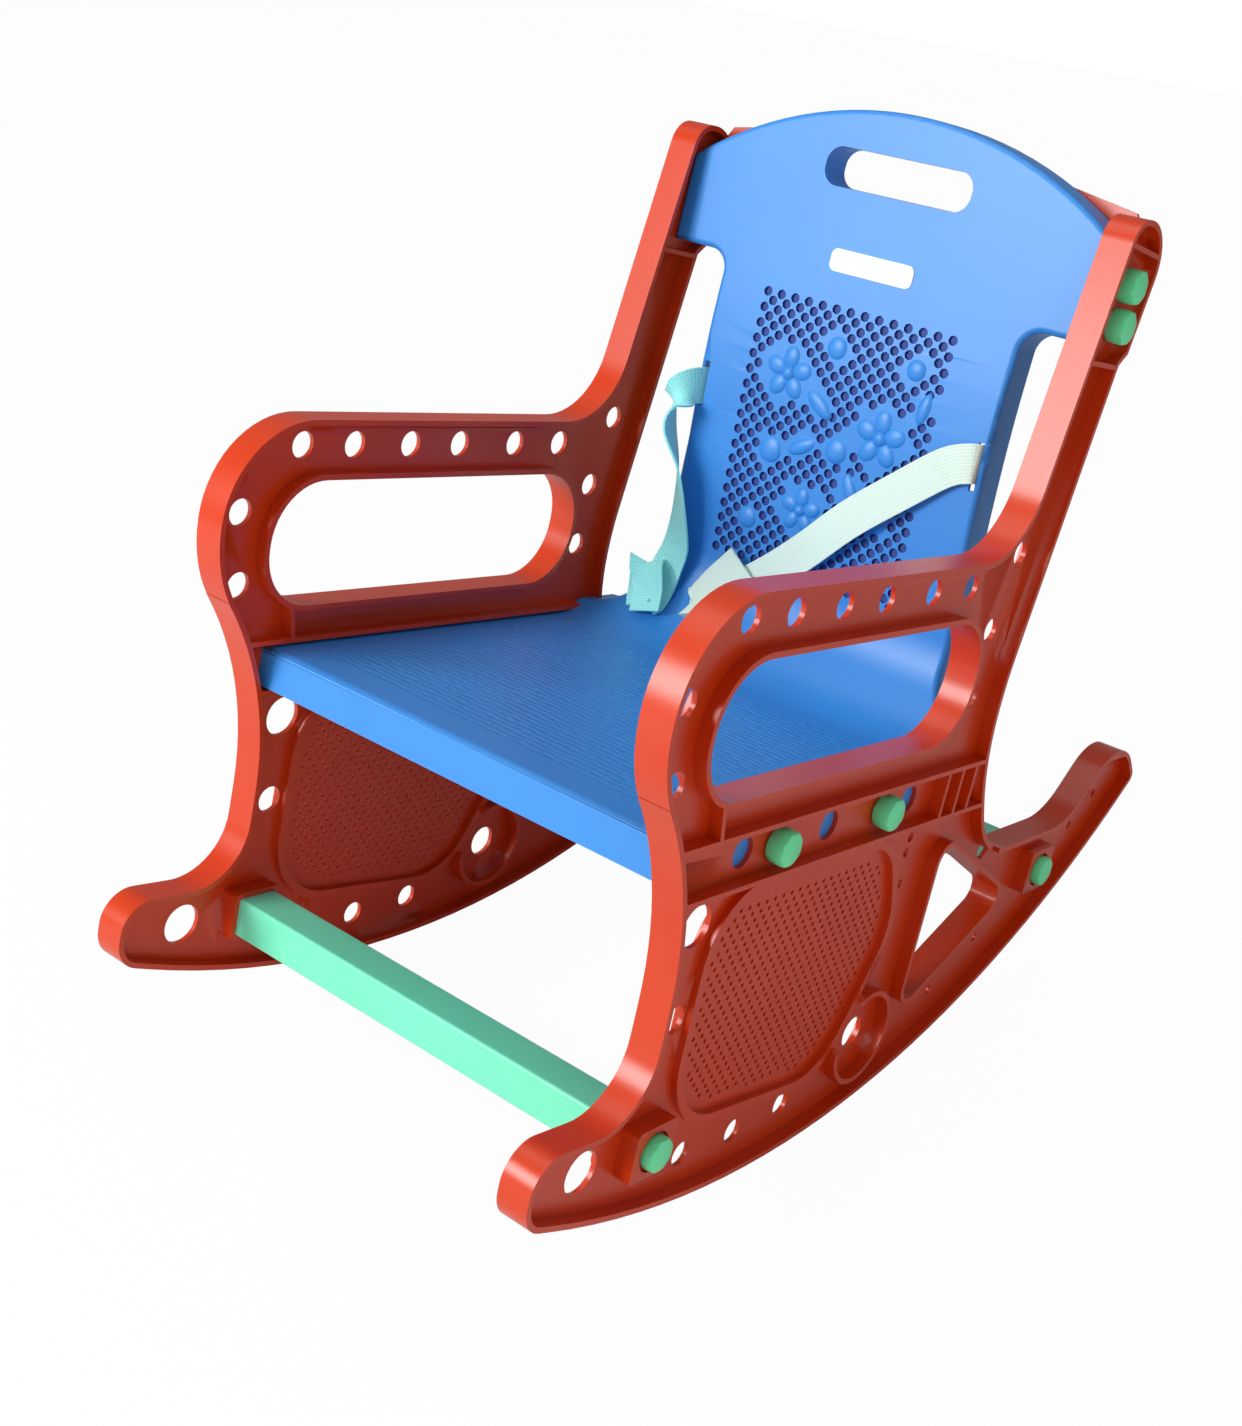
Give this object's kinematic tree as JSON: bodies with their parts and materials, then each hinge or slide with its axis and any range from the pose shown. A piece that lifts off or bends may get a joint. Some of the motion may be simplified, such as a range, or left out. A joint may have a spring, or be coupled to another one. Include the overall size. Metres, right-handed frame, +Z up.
{
  "type": "rocking chair",
  "caption": "Child-size moulded plastic rocking chair: two ribbed side frames with rockers and armrests, a one-piece seat and back, cross bars and a lap belt.",
  "frame": {"origin": "centre of the overall box at floor level, under the chair as it rests on a level floor", "axes": "+Z up, +Y towards the back of the chair, so the sitter faces -Y; +X towards the sitter's left"},
  "size_m": [0.358, 0.6878, 0.5692],
  "materials": {
    "frame": "gloss",
    "shell": "satin gloss",
    "crossbar": "satin gloss",
    "cap": "gloss",
    "nut": "zinc plated",
    "webbing": "woven"
  },
  "bodies": {
    "root": {"left_side_frame": "frame", "right_side_frame": "frame", "seat_back_shell": "shell", "front_crossbar": "crossbar", "rear_crossbar": "crossbar", "left_shoulder_upper_bolt": "cap", "left_shoulder_lower_bolt": "cap", "left_seat_front_bolt": "cap", "left_seat_rear_bolt": "cap", "left_front_bar_bolt": "cap", "left_rear_bar_bolt": "cap", "left_shoulder_upper_nut": "nut", "left_shoulder_lower_nut": "nut", "left_seat_front_nut": "nut", "left_seat_rear_nut": "nut", "right_shoulder_upper_bolt": "cap", "right_shoulder_lower_bolt": "cap", "right_seat_front_bolt": "cap", "right_seat_rear_bolt": "cap", "right_front_bar_bolt": "cap", "right_rear_bar_bolt": "cap", "right_shoulder_upper_nut": "nut", "right_shoulder_lower_nut": "nut", "right_seat_front_nut": "nut", "right_seat_rear_nut": "nut", "left_belt": "webbing", "right_belt": "webbing"}
  },
  "joints": []
}
